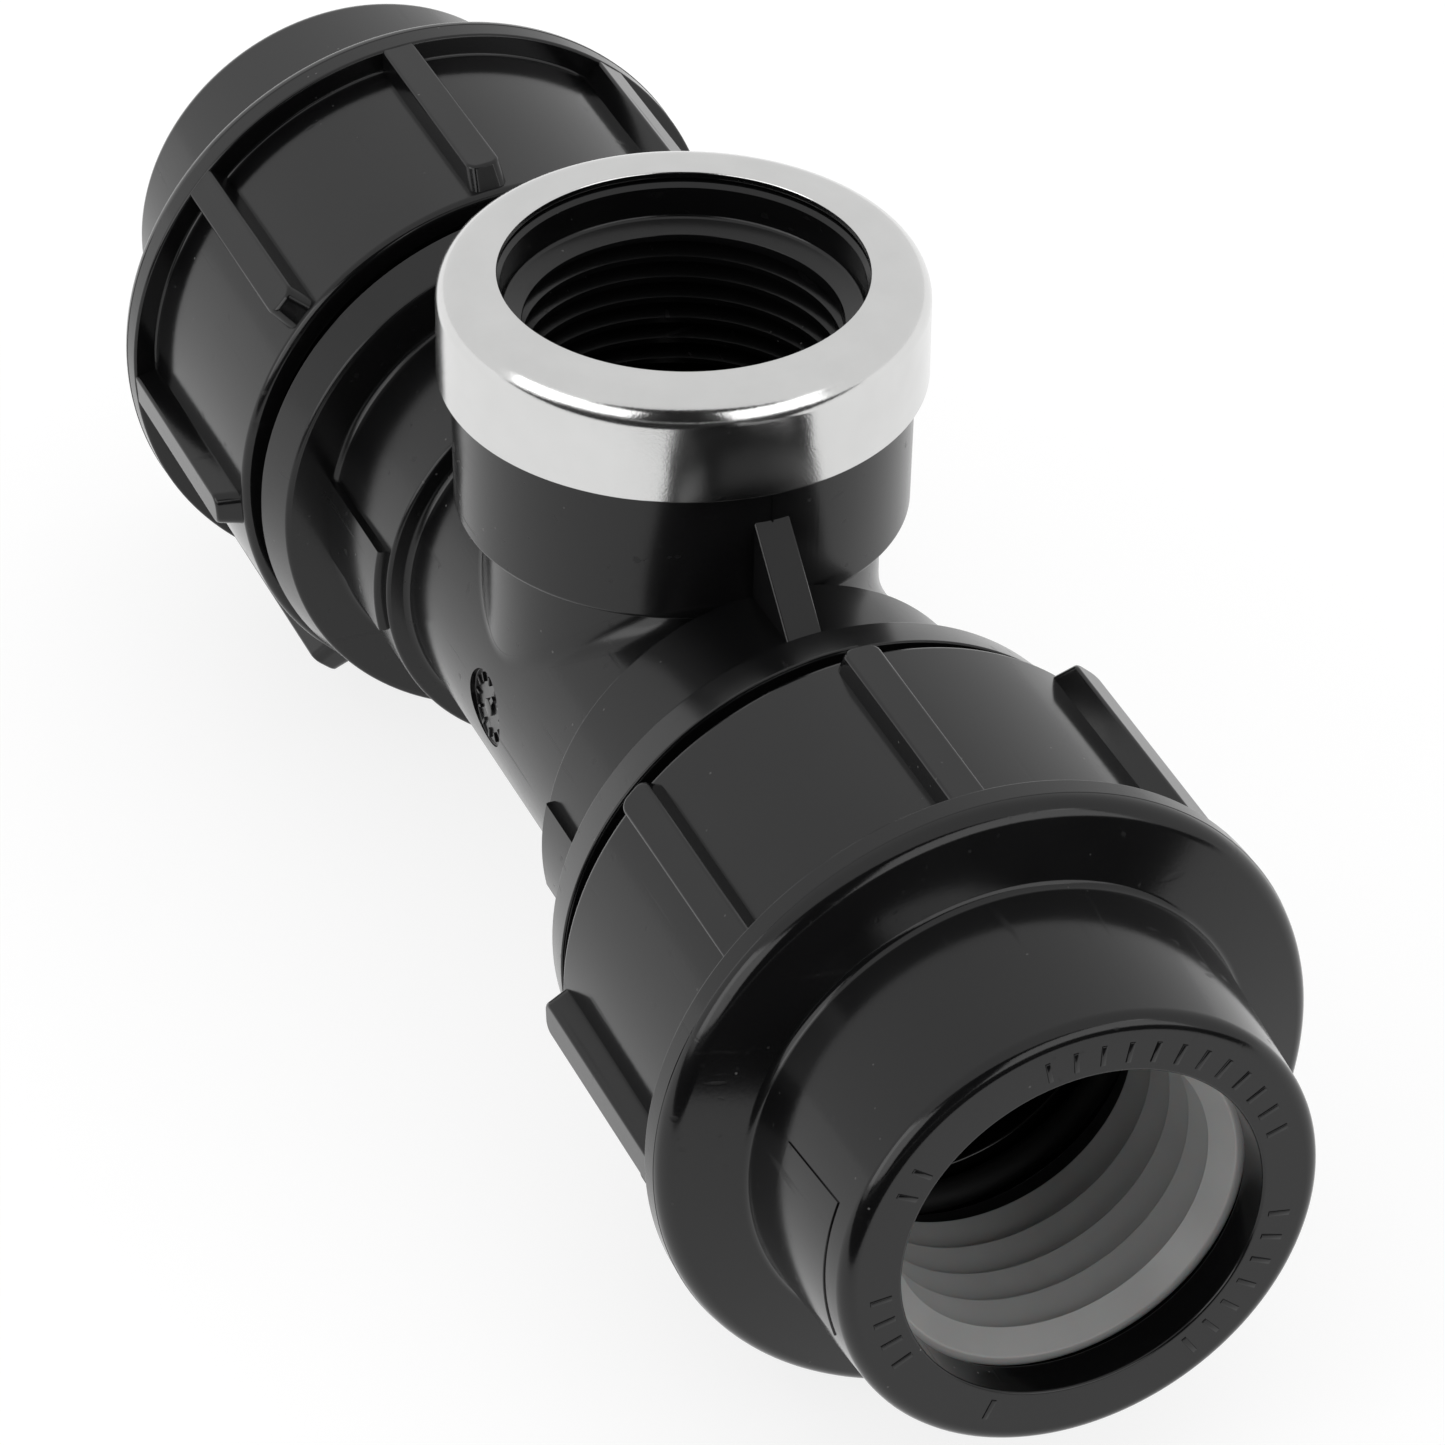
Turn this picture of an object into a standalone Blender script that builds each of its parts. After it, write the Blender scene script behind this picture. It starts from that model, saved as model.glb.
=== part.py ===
"""Compression tee for 32 mm water pipe with a one inch female branch, in metres with +Z up.

The run lies along X and the branch points up +Z; the origin is where their two axes cross. Each end
of the run holds, from the middle outwards, a rubber O-ring in the body's seat, a thrust ring, a split
clinch ring with barbs and a coupling nut that screws onto the body. The mouth of the branch is bound
by a pressed steel ring.
"""

import math

import bmesh
import bpy
from mathutils import Matrix, Vector

MM = 0.001
SIDES = 32  # facets round every turned piece
HALF_SIDE = math.pi / SIDES

# Body of the tee, along the run (half of it, the other half mirrors)
BARREL_R = 20.1
BAND_START = 21.2
BAND_R = 22.4
FLANGE_START = 36.0
FLANGE_END = 41.0
FLANGE_BACK_R = 27.4
FLANGE_R = 28.4
SPIGOT_R = 23.9
SPIGOT_END = 66.0
WATERWAY_R = 13.4
PIPE_STOP = 38.0
SOCKET_R = 16.4
SEAT_START = 62.0
SEAT_R = 20.3

# Branch of the tee, up Z
NECK_R = 19.0
BOSS_START = 20.6
BOSS_R = 21.8
BOSS_RIM_R = 22.2
BOSS_TOP = 44.14
LIP_R = 17.3
LEDGE_TOP = 40.4
LEDGE_BOTTOM = 39.6
BRANCH_SHOULDER = 19.6

# Pipe thread of the branch
BRANCH_PITCH = 2.309
BRANCH_MINOR_R = 15.15
BRANCH_MAJOR_R = 16.62
BRANCH_GROOVE_W = 2.1
BRANCH_THREAD_START = 22.0

# Coarse thread between body and nut
PITCH = 5.0
BODY_CREST_R = 26.3
NUT_ROOT_R = 27.0
NUT_CREST_R = 24.6
THREAD_ROOT_W = 2.4
THREAD_CREST_W = 1.3
THREAD_START = 45.0
THREAD_END = 62.0
NUT_THREAD_START = 46.5
NUT_THREAD_END = 62.5

# Ribs and pads moulded on the body
GUSSET_T = 3.5
GUSSET_SUM = 52.6  # x + z along a gusset's sloping edge
PAD_START = 22.4
PAD_R = 23.3
PAD_SPAN = math.radians(23)

# Coupling nut
NUT_START = 43.3
PANEL_R = 29.6
COLLAR_START = 69.6
COLLAR_R = 31.95
COLLAR_ROUND = 1.9
COLLAR_ROUND_START = 71.94
COLLAR_FACE_TILT = 75
NECK_START = 75.4
NECK_START_R = 24.4
NECK_END_R = 23.1
FACE_R = 21.6
NUT_END = 94.0
MOUTH_R = 17.45
CONE_START = 68.0
CONE_END = 90.0
CONE_END_R = 18.2
CONE_SLOPE = 0.225
RIB_COUNT = 8
RIB_START = 43.7
RIB_SLOPE = 1.5
RIB_TOP_R = 31.85
RIB_TOP_W = 3.4
RIB_ROOT_W = 4.1
RIB_PHASE = {"right": math.radians(2.5), "left": math.radians(40.2)}

# Clinch ring, thrust ring and O-ring
FIT_GAP = 0.35
CLINCH_START = 70.9
CLINCH_END = 89.3
BARB_COUNT = 5
BARB_PITCH = 4.0
BARB_CREST_R = 15.3
BARB_ROOT_R = 16.7
BARB_BACK = 0.3
SLOT_W = 3.0
SLOT_SLANT = math.radians(14)
SLOT_TURN = {"right": math.radians(205), "left": math.radians(155)}
THRUST_START = 67.9
THRUST_END = 70.55
THRUST_IN_R = 16.7
THRUST_OUT_R = 22.3
O_RING_X = 64.0
O_RING_R = 18.35
O_RING_SECTION_R = 1.65

# Steel ring round the branch
RING_BOTTOM = 34.4
RING_TOP = 45.24
RING_R = 23.34
RING_T = 0.8
RING_MOUTH_R = 17.56
RING_ROUND = 2.0

SIDE_TURN = {"right": 0.0, "left": math.pi}


def clear_scene():
    for old in list(bpy.data.objects):
        bpy.data.objects.remove(old, do_unlink=True)


def new_collection(name):
    made = bpy.data.collections.new(name)
    bpy.context.scene.collection.children.link(made)
    return made


def material(name, colour, roughness, metallic=0.0):
    made = bpy.data.materials.new(name)
    made.use_nodes = True
    shader = made.node_tree.nodes["Principled BSDF"]
    shader.inputs["Base Color"].default_value = (*colour, 1.0)
    shader.inputs["Roughness"].default_value = roughness
    shader.inputs["Metallic"].default_value = metallic
    return made


def add_object(name, mesh, where, surface=None):
    made = bpy.data.objects.new(name, mesh)
    where.objects.link(made)
    if surface:
        mesh.materials.append(surface)
    else:
        made.hide_render = True
        made.display_type = "WIRE"
    return made


def along_run(made, side="right"):
    """Turns an object that was made along local Z so that local Z points out of one end of the run."""
    made.rotation_euler = (0, math.pi / 2, SIDE_TURN[side])
    return made


def turned(name, outline, where, surface=None, closed=False, sides=SIDES):
    """A turned piece about local Z. The outline is (height, radius) in mm, from top to bottom outside."""
    mesh = bpy.data.meshes.new(name)
    points = [(radius * MM, 0, height * MM) for height, radius in outline]
    last = len(points) - 1
    edges = [(i, i + 1) for i in range(last)]
    if closed:
        edges.append((last, 0))
    mesh.from_pydata(points, edges, [])
    made = add_object(name, mesh, where, surface)
    screw = made.modifiers.new("Turn", "SCREW")
    screw.steps = sides
    screw.render_steps = sides
    screw.use_merge_vertices = True
    screw.merge_threshold = 0.000001
    screw.use_normal_calculate = False
    return made


def swept(name, outline, where, start, span, steps, rise=0.0):
    """Sweeps a (height, radius) outline about local Z through an angle while it climbs by rise mm."""
    form = bmesh.new()
    corners = [form.verts.new((radius * MM, 0, height * MM)) for height, radius in outline]
    form.faces.new(corners)
    bmesh.ops.rotate(form, verts=form.verts, matrix=Matrix.Rotation(start, 3, "Z"))
    climb = (0, 0, rise * MM / steps)
    whole = form.verts[:] + form.edges[:] + form.faces[:]
    bmesh.ops.spin(form, geom=whole, axis=(0, 0, 1), dvec=climb, angle=span, steps=steps)
    bmesh.ops.recalc_face_normals(form, faces=form.faces)
    mesh = bpy.data.meshes.new(name)
    form.to_mesh(mesh)
    form.free()
    return add_object(name, mesh, where)


def thread_rows(start, end, core_r, crest_r, core_w, crest_w, pitch, middle):
    """Rows of a right-handed thread between two heights, each a function of the share of a turn.

    A row runs along one corner of the thread's section: core_w wide at the core, crest_w at the crest,
    with a ridge's middle at the height middle when the share is 0. Past either end it stays on the core.
    """
    low, high = sorted((start, end))
    corners = [(-core_w / 2, core_r), (core_w / 2, core_r)]
    corners += {(-crest_w / 2, crest_r), (crest_w / 2, crest_r)}
    rows = []
    for number in range(math.floor((low - middle) / pitch) - 1, math.ceil((high - middle) / pitch) + 1):
        for offset, radius in corners:
            rows.append((middle + pitch * number + offset, radius))
    rows.sort(reverse=start > end)

    def row_at(height, radius):
        def point(share):
            lifted = height + pitch * share
            inside = low < lifted < high
            return (lifted, radius) if inside else (min(max(lifted, low), high), core_r)
        return point

    return [(start, core_r), *[row_at(*row) for row in rows], (end, core_r)]


def threaded(name, rows, where, surface=None, closed=False):
    """A turned piece with threads, about local Z: rows as an outline's points or as thread_rows gives them."""
    form = bmesh.new()
    columns = []
    for step in range(SIDES + 1):
        share = step / SIDES
        around = Matrix.Rotation(math.tau * share, 3, "Z")
        column = []
        for row in rows:
            height, radius = row(share) if callable(row) else row
            column.append(form.verts.new(around @ Vector((radius * MM, 0, height * MM))))
        columns.append(column)
    for near, far in zip(columns, columns[1:]):
        last = len(rows) if closed else len(rows) - 1
        for i in range(last):
            j = (i + 1) % len(rows)
            form.faces.new((near[i], near[j], far[j], far[i]))
    bmesh.ops.remove_doubles(form, verts=form.verts, dist=0.000001)
    bmesh.ops.recalc_face_normals(form, faces=form.faces)
    mesh = bpy.data.meshes.new(name)
    form.to_mesh(mesh)
    form.free()
    return add_object(name, mesh, where, surface)


def prism(name, outline, thickness, where):
    """A plate of an (x, z) outline in mm, centred on the plane y = 0."""
    form = bmesh.new()
    corners = [form.verts.new((x * MM, -thickness * MM / 2, z * MM)) for x, z in outline]
    face = form.faces.new(corners)
    pulled = bmesh.ops.extrude_face_region(form, geom=[face])["geom"]
    moved = [item for item in pulled if isinstance(item, bmesh.types.BMVert)]
    bmesh.ops.translate(form, verts=moved, vec=(0, thickness * MM, 0))
    bmesh.ops.recalc_face_normals(form, faces=form.faces)
    mesh = bpy.data.meshes.new(name)
    form.to_mesh(mesh)
    form.free()
    return add_object(name, mesh, where)


def arc(middle_height, middle_radius, round_r, first, last, steps):
    """Points of an arc in (height, radius), with angles in degrees from straight outwards towards +height."""
    points = []
    for i in range(steps + 1):
        angle = math.radians(first + (last - first) * i / steps)
        points.append((middle_height + round_r * math.sin(angle), middle_radius + round_r * math.cos(angle)))
    return points


def mirrored(half):
    """A whole outline from its upper half, which is given from top to middle."""
    return half + [(-height, radius) for height, radius in reversed(half)]


def combine(made, operation, others):
    tool = made.modifiers.new(others.name, "BOOLEAN")
    tool.operation = operation
    tool.operand_type = "COLLECTION"
    tool.collection = others
    tool.solver = "EXACT"


def smooth(made):
    made.data.shade_smooth()
    made.data.set_sharp_from_angle(angle=math.radians(35))


def add_body(parts, plastic):
    added = new_collection("tee_body_added")
    removed = new_collection("tee_body_removed")

    section = (SPIGOT_R, BODY_CREST_R, THREAD_ROOT_W, THREAD_CREST_W, PITCH)
    shank = [
        (FLANGE_END, SPIGOT_R), (FLANGE_END, FLANGE_R), (FLANGE_START, FLANGE_BACK_R),
        (FLANGE_START, BAND_R + 0.2), (BAND_START + 0.3, BAND_R), (BAND_START, BARREL_R),
    ]
    nose = [(SPIGOT_END, 0), (SPIGOT_END, SPIGOT_R - 0.6), (SPIGOT_END - 0.6, SPIGOT_R)]
    run = nose + thread_rows(THREAD_END, THREAD_START, *section, THREAD_START)
    run += mirrored(shank)
    run += thread_rows(-THREAD_START, -THREAD_END, *section, -THREAD_START)
    run += [(-height, radius) for height, radius in reversed(nose)]
    body = along_run(threaded("tee_body", run, parts, plastic))

    branch = [(BOSS_TOP, 0)]
    branch += arc(BOSS_TOP - 1.3, BOSS_RIM_R - 1.3, 1.3, 90, 0, 2)
    branch += [(RING_BOTTOM, BOSS_RIM_R), (BOSS_START, BOSS_R), (BOSS_START - 0.7, NECK_R), (0, NECK_R), (0, 0)]
    turned("branch", branch, added).rotation_euler.z = HALF_SIDE

    for side, way in (("right", 1), ("left", -1)):
        corners = [(21.0, GUSSET_SUM - 21.0), (21.0, 15.0), (GUSSET_SUM - 20.8, 20.8)]
        prism(f"gusset_{side}", [(way * x, z) for x, z in corners], GUSSET_T, added)
        pad = [(PAD_START, BARREL_R - 1), (PAD_START, PAD_R), (FLANGE_START + 1, PAD_R),
               (FLANGE_START + 1, BARREL_R - 1)]
        for face, middle in (("front", -math.pi / 2), ("back", math.pi / 2)):
            made = swept(f"pad_{side}_{face}", pad, added, middle - PAD_SPAN / 2, PAD_SPAN, 3)
            along_run(made, side)

    water = mirrored([
        (SPIGOT_END + 3, 0), (SPIGOT_END + 3, SEAT_R + 0.7), (SPIGOT_END - 0.2, SEAT_R + 0.7),
        (SPIGOT_END - 0.9, SEAT_R), (SEAT_START, SEAT_R), (SEAT_START, SOCKET_R), (PIPE_STOP, SOCKET_R),
        (PIPE_STOP, WATERWAY_R),
    ])
    along_run(turned("run_bore", water, removed))
    bore = [
        (BOSS_TOP + 2, 0), (BOSS_TOP + 2, LIP_R + 0.3), (BOSS_TOP - 0.3, LIP_R + 0.3),
        (BOSS_TOP - 0.6, LIP_R), (LEDGE_TOP, LIP_R),
    ]
    bore += thread_rows(LEDGE_BOTTOM, BRANCH_THREAD_START, BRANCH_MINOR_R, BRANCH_MAJOR_R,
                        BRANCH_GROOVE_W, 0.0, BRANCH_PITCH, BRANCH_THREAD_START)
    bore += [
        (BRANCH_SHOULDER, BRANCH_MINOR_R), (BRANCH_SHOULDER, WATERWAY_R - 0.4), (0.5, WATERWAY_R - 0.4), (0.5, 0),
    ]
    threaded("branch_bore", bore, removed).rotation_euler.z = HALF_SIDE

    combine(body, "UNION", added)
    combine(body, "DIFFERENCE", removed)
    smooth(body)


def cone_r(height):
    """Radius of the cone inside the nut."""
    return CONE_END_R + CONE_SLOPE * (CONE_END - height)


def add_nut(parts, plastic, side):
    added = new_collection(f"nut_{side}_added")
    outline = [(NUT_END, MOUTH_R + 0.5), (NUT_END, FACE_R)]
    outline += arc(NUT_END - 1.5, FACE_R, 1.5, 90, 4, 3)[1:]
    outline += [(NECK_START + 0.8, NECK_START_R - 0.05), (NECK_START, NECK_START_R + 0.3)]
    outline += [(NECK_START - 0.2, NECK_START_R + 1.0)]
    outline += arc(COLLAR_ROUND_START, COLLAR_R - COLLAR_ROUND, COLLAR_ROUND, COLLAR_FACE_TILT, 0, 4)
    outline += [
        (COLLAR_START, COLLAR_R), (COLLAR_START, PANEL_R + 0.3), (COLLAR_START - 0.3, PANEL_R),
        (NUT_START + 0.5, PANEL_R - 0.1), (NUT_START, PANEL_R - 0.6), (NUT_START, NUT_ROOT_R + 0.5),
        (NUT_START + 0.5, NUT_ROOT_R),
    ]
    outline += thread_rows(NUT_THREAD_START, NUT_THREAD_END, NUT_ROOT_R, NUT_CREST_R, THREAD_ROOT_W,
                           THREAD_CREST_W, PITCH, THREAD_START + PITCH / 2)
    outline += [
        (CONE_START - 1.5, NUT_ROOT_R), (CONE_START, cone_r(CONE_START)),
        (CONE_END, CONE_END_R), (CONE_END, MOUTH_R), (NUT_END - 0.5, MOUTH_R),
    ]
    nut = along_run(threaded(f"nut_{side}", outline, parts, plastic, closed=True), side)

    form = bmesh.new()
    bmesh.ops.create_cube(form, size=1.0)
    for corner in form.verts:
        top = corner.co.x > 0
        corner.co.y *= (RIB_TOP_W if top else RIB_ROOT_W) * MM
        corner.co.x = (RIB_TOP_R if top else PANEL_R - 1.2) * MM
        corner.co.z = (COLLAR_START + 1.0 if corner.co.z > 0 else RIB_START + RIB_SLOPE * top) * MM
    ends = [edge for edge in form.edges if all(corner.co.z < (RIB_START + 2) * MM for corner in edge.verts)]
    upright = [edge for edge in ends if abs(edge.verts[0].co.x - edge.verts[1].co.x) > MM]
    bmesh.ops.bevel(form, geom=upright, offset=1.0 * MM, segments=2, affect="EDGES", profile=0.5)
    rib = bpy.data.meshes.new(f"rib_{side}")
    form.to_mesh(rib)
    form.free()
    for number in range(RIB_COUNT):
        made = add_object(f"rib_{side}_{number + 1}", rib, added)
        around = Matrix.Rotation(RIB_PHASE[side] + math.tau * number / RIB_COUNT, 4, "Z")
        outwards = Matrix.Rotation(SIDE_TURN[side], 4, "Z") @ Matrix.Rotation(math.pi / 2, 4, "Y")
        made.matrix_world = outwards @ around

    combine(nut, "UNION", added)
    smooth(nut)


def add_clinch_ring(parts, acetal, side):
    removed = new_collection(f"clinch_ring_{side}_removed")
    outline = [(CLINCH_END, cone_r(CLINCH_END) - FIT_GAP), (CLINCH_START, cone_r(CLINCH_START) - FIT_GAP)]
    for number in range(BARB_COUNT):
        crest = CLINCH_START + BARB_PITCH * number
        if number:
            outline.append((crest - BARB_BACK, BARB_ROOT_R))
        outline.append((crest, BARB_CREST_R))
    outline.append((CLINCH_END, CONE_END_R - FIT_GAP - 0.8))
    ring = along_run(turned(f"clinch_ring_{side}", outline, parts, acetal, closed=True), side)

    form = bmesh.new()
    bmesh.ops.create_cube(form, size=1.0)
    bmesh.ops.scale(form, verts=form.verts, vec=(16 * MM, SLOT_W * MM, 40 * MM))
    bmesh.ops.rotate(form, verts=form.verts, matrix=Matrix.Rotation(SLOT_SLANT, 3, "X"))
    middle = (CLINCH_START + CLINCH_END) / 2
    bmesh.ops.translate(form, verts=form.verts, vec=(19 * MM, 0, middle * MM))
    bmesh.ops.rotate(form, verts=form.verts, matrix=Matrix.Rotation(SLOT_TURN[side], 3, "Z"))
    mesh = bpy.data.meshes.new(f"slot_{side}")
    form.to_mesh(mesh)
    form.free()
    along_run(add_object(f"slot_{side}", mesh, removed), side)
    combine(ring, "DIFFERENCE", removed)
    smooth(ring)


def add_thrust_ring(parts, plastic, side):
    outline = [
        (THRUST_END, THRUST_OUT_R - 0.5), (THRUST_END - 0.5, THRUST_OUT_R), (THRUST_START, THRUST_OUT_R),
        (THRUST_START, THRUST_IN_R), (THRUST_END, THRUST_IN_R),
    ]
    smooth(along_run(turned(f"thrust_ring_{side}", outline, parts, plastic, closed=True), side))


def add_o_ring(parts, rubber, side):
    outline = arc(O_RING_X, O_RING_R, O_RING_SECTION_R, 90, -225, 7)
    smooth(along_run(turned(f"o_ring_{side}", outline, parts, rubber, closed=True, sides=28), side))


def add_reinforcing_ring(parts, steel):
    outer = arc(RING_TOP - RING_ROUND, RING_R - RING_ROUND, RING_ROUND, 90, 0, 4)
    inner_round = RING_ROUND - RING_T
    inner = arc(RING_TOP - RING_ROUND, RING_R - RING_ROUND, inner_round, 0, 90, 3)
    outline = [(RING_TOP, RING_MOUTH_R), *outer, (RING_BOTTOM, RING_R), (RING_BOTTOM, RING_R - RING_T), *inner]
    outline.append((RING_TOP - RING_T, RING_MOUTH_R))
    smooth(turned("reinforcing_ring", outline, parts, steel, closed=True))


clear_scene()
tee = new_collection("compression_tee")
black_plastic = material("black_polypropylene", (0.018, 0.018, 0.019), 0.34)
stainless_steel = material("stainless_steel", (0.72, 0.72, 0.71), 0.22, metallic=1.0)
natural_acetal = material("natural_acetal", (0.62, 0.62, 0.6), 0.38)
grey_plastic = material("grey_polypropylene", (0.09, 0.09, 0.095), 0.4)
black_rubber = material("nitrile_rubber", (0.012, 0.012, 0.012), 0.7)

add_body(tee, black_plastic)
add_reinforcing_ring(tee, stainless_steel)
for end in SIDE_TURN:
    add_o_ring(tee, black_rubber, end)
    add_thrust_ring(tee, grey_plastic, end)
    add_clinch_ring(tee, natural_acetal, end)
    add_nut(tee, black_plastic, end)
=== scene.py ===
# %% [markdown]
# # A compression tee for water pipe
#
# This lesson builds the looks of a plastic compression tee. Two lengths of 32 mm water pipe push into the
# ends of its run, and a one inch male thread screws into its branch. The solid model gives every size and
# every joint, and this notebook rebuilds each piece finer, with its rounded edges, threads and finish.

# %% Load the solid model as a fixed frame
import math

import bmesh
import bpy
from mathutils import Matrix, Vector


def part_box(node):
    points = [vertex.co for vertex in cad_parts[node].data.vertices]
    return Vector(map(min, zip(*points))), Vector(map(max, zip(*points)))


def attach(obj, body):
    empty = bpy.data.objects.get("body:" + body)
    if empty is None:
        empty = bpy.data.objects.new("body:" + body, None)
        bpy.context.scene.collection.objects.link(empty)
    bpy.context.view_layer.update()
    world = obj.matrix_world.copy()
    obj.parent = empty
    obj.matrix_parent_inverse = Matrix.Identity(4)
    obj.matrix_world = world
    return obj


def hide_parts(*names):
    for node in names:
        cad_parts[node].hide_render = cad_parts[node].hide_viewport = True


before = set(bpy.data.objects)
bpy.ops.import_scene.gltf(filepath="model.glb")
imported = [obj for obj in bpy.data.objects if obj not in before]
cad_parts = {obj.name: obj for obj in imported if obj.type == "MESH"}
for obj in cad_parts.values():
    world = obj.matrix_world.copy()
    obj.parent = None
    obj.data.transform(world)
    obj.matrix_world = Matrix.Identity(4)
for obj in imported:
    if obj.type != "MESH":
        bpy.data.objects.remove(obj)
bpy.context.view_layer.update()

print("nodes:", sorted(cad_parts))

# %% [markdown]
# ## Sizes
#
# The solid model is the ruler. Each size below is read from a node's box where the box gives it, so that the
# fine pieces stand exactly where the solids stand. Sizes are in millimetres here, because that is how such a
# fitting is drawn, and one function turns them into Blender's metres.

# %% Read the main sizes from the frame
MM = 0.001


def mm_box(node):
    low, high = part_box(node)
    return low / MM, high / MM


body_high = mm_box("tee_body")[1]
nut_low, nut_high = mm_box("nut_right")
steel_low, steel_high = mm_box("reinforcing_ring")
clinch_low, clinch_high = mm_box("clinch_ring_right")
thrust_low, thrust_high = mm_box("thrust_ring_right")
seal_low, seal_high = mm_box("o_ring_right")

SPIGOT_END = body_high.x
BOSS_TOP = body_high.z
NUT_START = nut_low.x
NUT_END = nut_high.x
STEEL_BOTTOM = steel_low.z
STEEL_TOP = steel_high.z
CLINCH_START = clinch_low.x
CLINCH_END = clinch_high.x
print("spigot ends at", round(SPIGOT_END, 2))
print("nut reaches from", round(NUT_START, 2), "to", round(NUT_END, 2))

# %% [markdown]
# ## Drawing and spinning an outline
#
# Almost every piece of a pipe fitting is turned, so a lathe is the first tool. By hand this is a vertex that
# is extruded from corner to corner, and then the Spin tool. A sharp corner never looks moulded, so a corner
# of the outline may carry a radius, and it becomes a short arc before anything is spun.

# %% A clean start for every new piece
def deselect_all():
    if bpy.context.object and bpy.context.object.mode != "OBJECT":
        bpy.ops.object.mode_set(mode="OBJECT")
    bpy.ops.object.select_all(action="DESELECT")


def only(piece):
    deselect_all()
    piece.select_set(True)
    bpy.context.view_layer.objects.active = piece


def edit(piece):
    only(piece)
    bpy.ops.object.mode_set(mode="EDIT")
    bpy.ops.mesh.select_mode(type="VERT")
    bpy.ops.mesh.select_all(action="SELECT")


def pick(piece, kind, wanted):
    """Selects, in edit mode, the vertices, edges or faces that pass a test, and nothing else."""
    bpy.ops.mesh.select_mode(type=kind)
    bpy.ops.mesh.select_all(action="DESELECT")
    form = bmesh.from_edit_mesh(piece.data)
    items = {"VERT": form.verts, "EDGE": form.edges, "FACE": form.faces}[kind]
    for item in items:
        if wanted(item):
            item.select_set(True)
    form.select_flush_mode()
    bmesh.update_edit_mesh(piece.data)


def count(piece):
    piece.data.calc_loop_triangles()
    return f"{piece.name}: {len(piece.data.loop_triangles)} triangles"


# %% Round the corners of an outline
def rounded(corners, steps=5):
    """An outline of (along, out) points from corners (along, out) or (along, out, radius), in mm."""
    outline = []
    for i, corner in enumerate(corners):
        here = Vector(corner[:2])
        if len(corner) < 3:
            outline.append(tuple(here))
            continue
        back = (Vector(corners[i - 1][:2]) - here).normalized()
        ahead = (Vector(corners[(i + 1) % len(corners)][:2]) - here).normalized()
        half = back.angle(ahead) / 2
        middle = here + (back + ahead).normalized() * corner[2] / math.sin(half)
        start = here + back * corner[2] / math.tan(half) - middle
        end = here + ahead * corner[2] / math.tan(half) - middle
        turn = start.angle_signed(end)
        for k in range(steps + 1):
            outline.append(tuple(middle + Matrix.Rotation(-turn * k / steps, 2) @ start))
    return outline


# %% Draw an outline and spin it
ALONG = {"X": Vector((1, 0, 0)), "Z": Vector((0, 0, 1))}
OUT = {"X": Vector((0, 0, -1)), "Z": Vector((1, 0, 0))}


def draw(name, outline, axis="X"):
    """A wire outline in mm, drawn by extruding one vertex from point to point beside an axis."""
    deselect_all()
    bpy.ops.mesh.primitive_plane_add(size=0.01)
    piece = bpy.context.object
    piece.name = name
    piece.data.name = name
    edit(piece)
    bpy.ops.mesh.merge(type="CENTER")
    places = [(ALONG[axis] * along + OUT[axis] * out) * MM for along, out in outline]
    bpy.ops.transform.translate(value=places[0])
    for near, far in zip(places, places[1:]):
        bpy.ops.mesh.extrude_vertices_move(TRANSFORM_OT_translate={"value": far - near})
    bpy.ops.object.mode_set(mode="OBJECT")
    return piece


def close_up(piece):
    """Merges doubled points and turns every face outwards."""
    edit(piece)
    bpy.ops.mesh.remove_doubles(threshold=0.000002)
    bpy.ops.mesh.normals_make_consistent(inside=False)
    bpy.ops.object.mode_set(mode="OBJECT")
    return piece


def turn(name, corners, axis="X", steps=192, closed=False, arc=5):
    """A turned piece: a closed outline leaves a hole along the axis, an open one ends on the axis."""
    outline = rounded(corners, arc)
    if closed:
        outline.append(outline[0])
    piece = draw(name, outline, axis)
    edit(piece)
    bpy.ops.mesh.spin(steps=steps, angle=math.tau, center=(0, 0, 0), axis=ALONG[axis])
    return close_up(piece)


# %% [markdown]
# ## Threads
#
# A thread is one ridge that climbs while it goes round. The Screw modifier does exactly this to a small
# closed section. A moulded thread fades in and out over part of a turn, so the first and last sections sink
# towards the ridge's own foot. The ridge is then joined to its piece, or cut out of it, by a Boolean.

# %% Wind a ridge
SUNK = 0.96


def ridge(name, section, pitch, turns, axis="X", steps=96):
    """A helical ridge from a section of (along, out) in mm; each end sinks away over a ninth of a turn."""
    piece = draw(name, section + section[:1], axis)
    screw = piece.modifiers.new("Wind", "SCREW")
    screw.axis = axis
    screw.angle = math.tau * turns
    screw.screw_offset = pitch * turns * MM
    screw.steps = screw.render_steps = round(steps * turns)
    screw.use_merge_vertices = False
    only(piece)
    bpy.ops.object.modifier_apply(modifier=screw.name)
    rows = len(section) + 1
    sections = len(piece.data.vertices) // rows
    run_out = steps // 9
    foot = section[0][1] * MM
    for vertex in piece.data.vertices:
        place = vertex.index // rows
        sunk = SUNK * max(run_out - place, place - (sections - 1 - run_out), 0) / run_out
        across = vertex.co - ALONG[axis] * vertex.co.dot(ALONG[axis])
        vertex.co += across.normalized() * (foot - across.length) * sunk
    edit(piece)
    bpy.ops.mesh.remove_doubles(threshold=0.000002)
    bpy.ops.mesh.select_all(action="SELECT")
    bpy.ops.mesh.fill_holes(sides=12)
    bpy.ops.mesh.select_all(action="SELECT")
    bpy.ops.mesh.normals_make_consistent(inside=False)
    bpy.ops.object.mode_set(mode="OBJECT")
    return piece


# %% Join and cut with Booleans
def combine(piece, operation, others):
    """Unites the piece with others, or cuts them from it, and removes them."""
    only(piece)
    for other in others:
        tool = piece.modifiers.new(other.name, "BOOLEAN")
        tool.operation = operation
        tool.solver = "EXACT"
        tool.object = other
        bpy.ops.object.modifier_apply(modifier=tool.name)
        bpy.data.objects.remove(other)
    return piece


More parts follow.
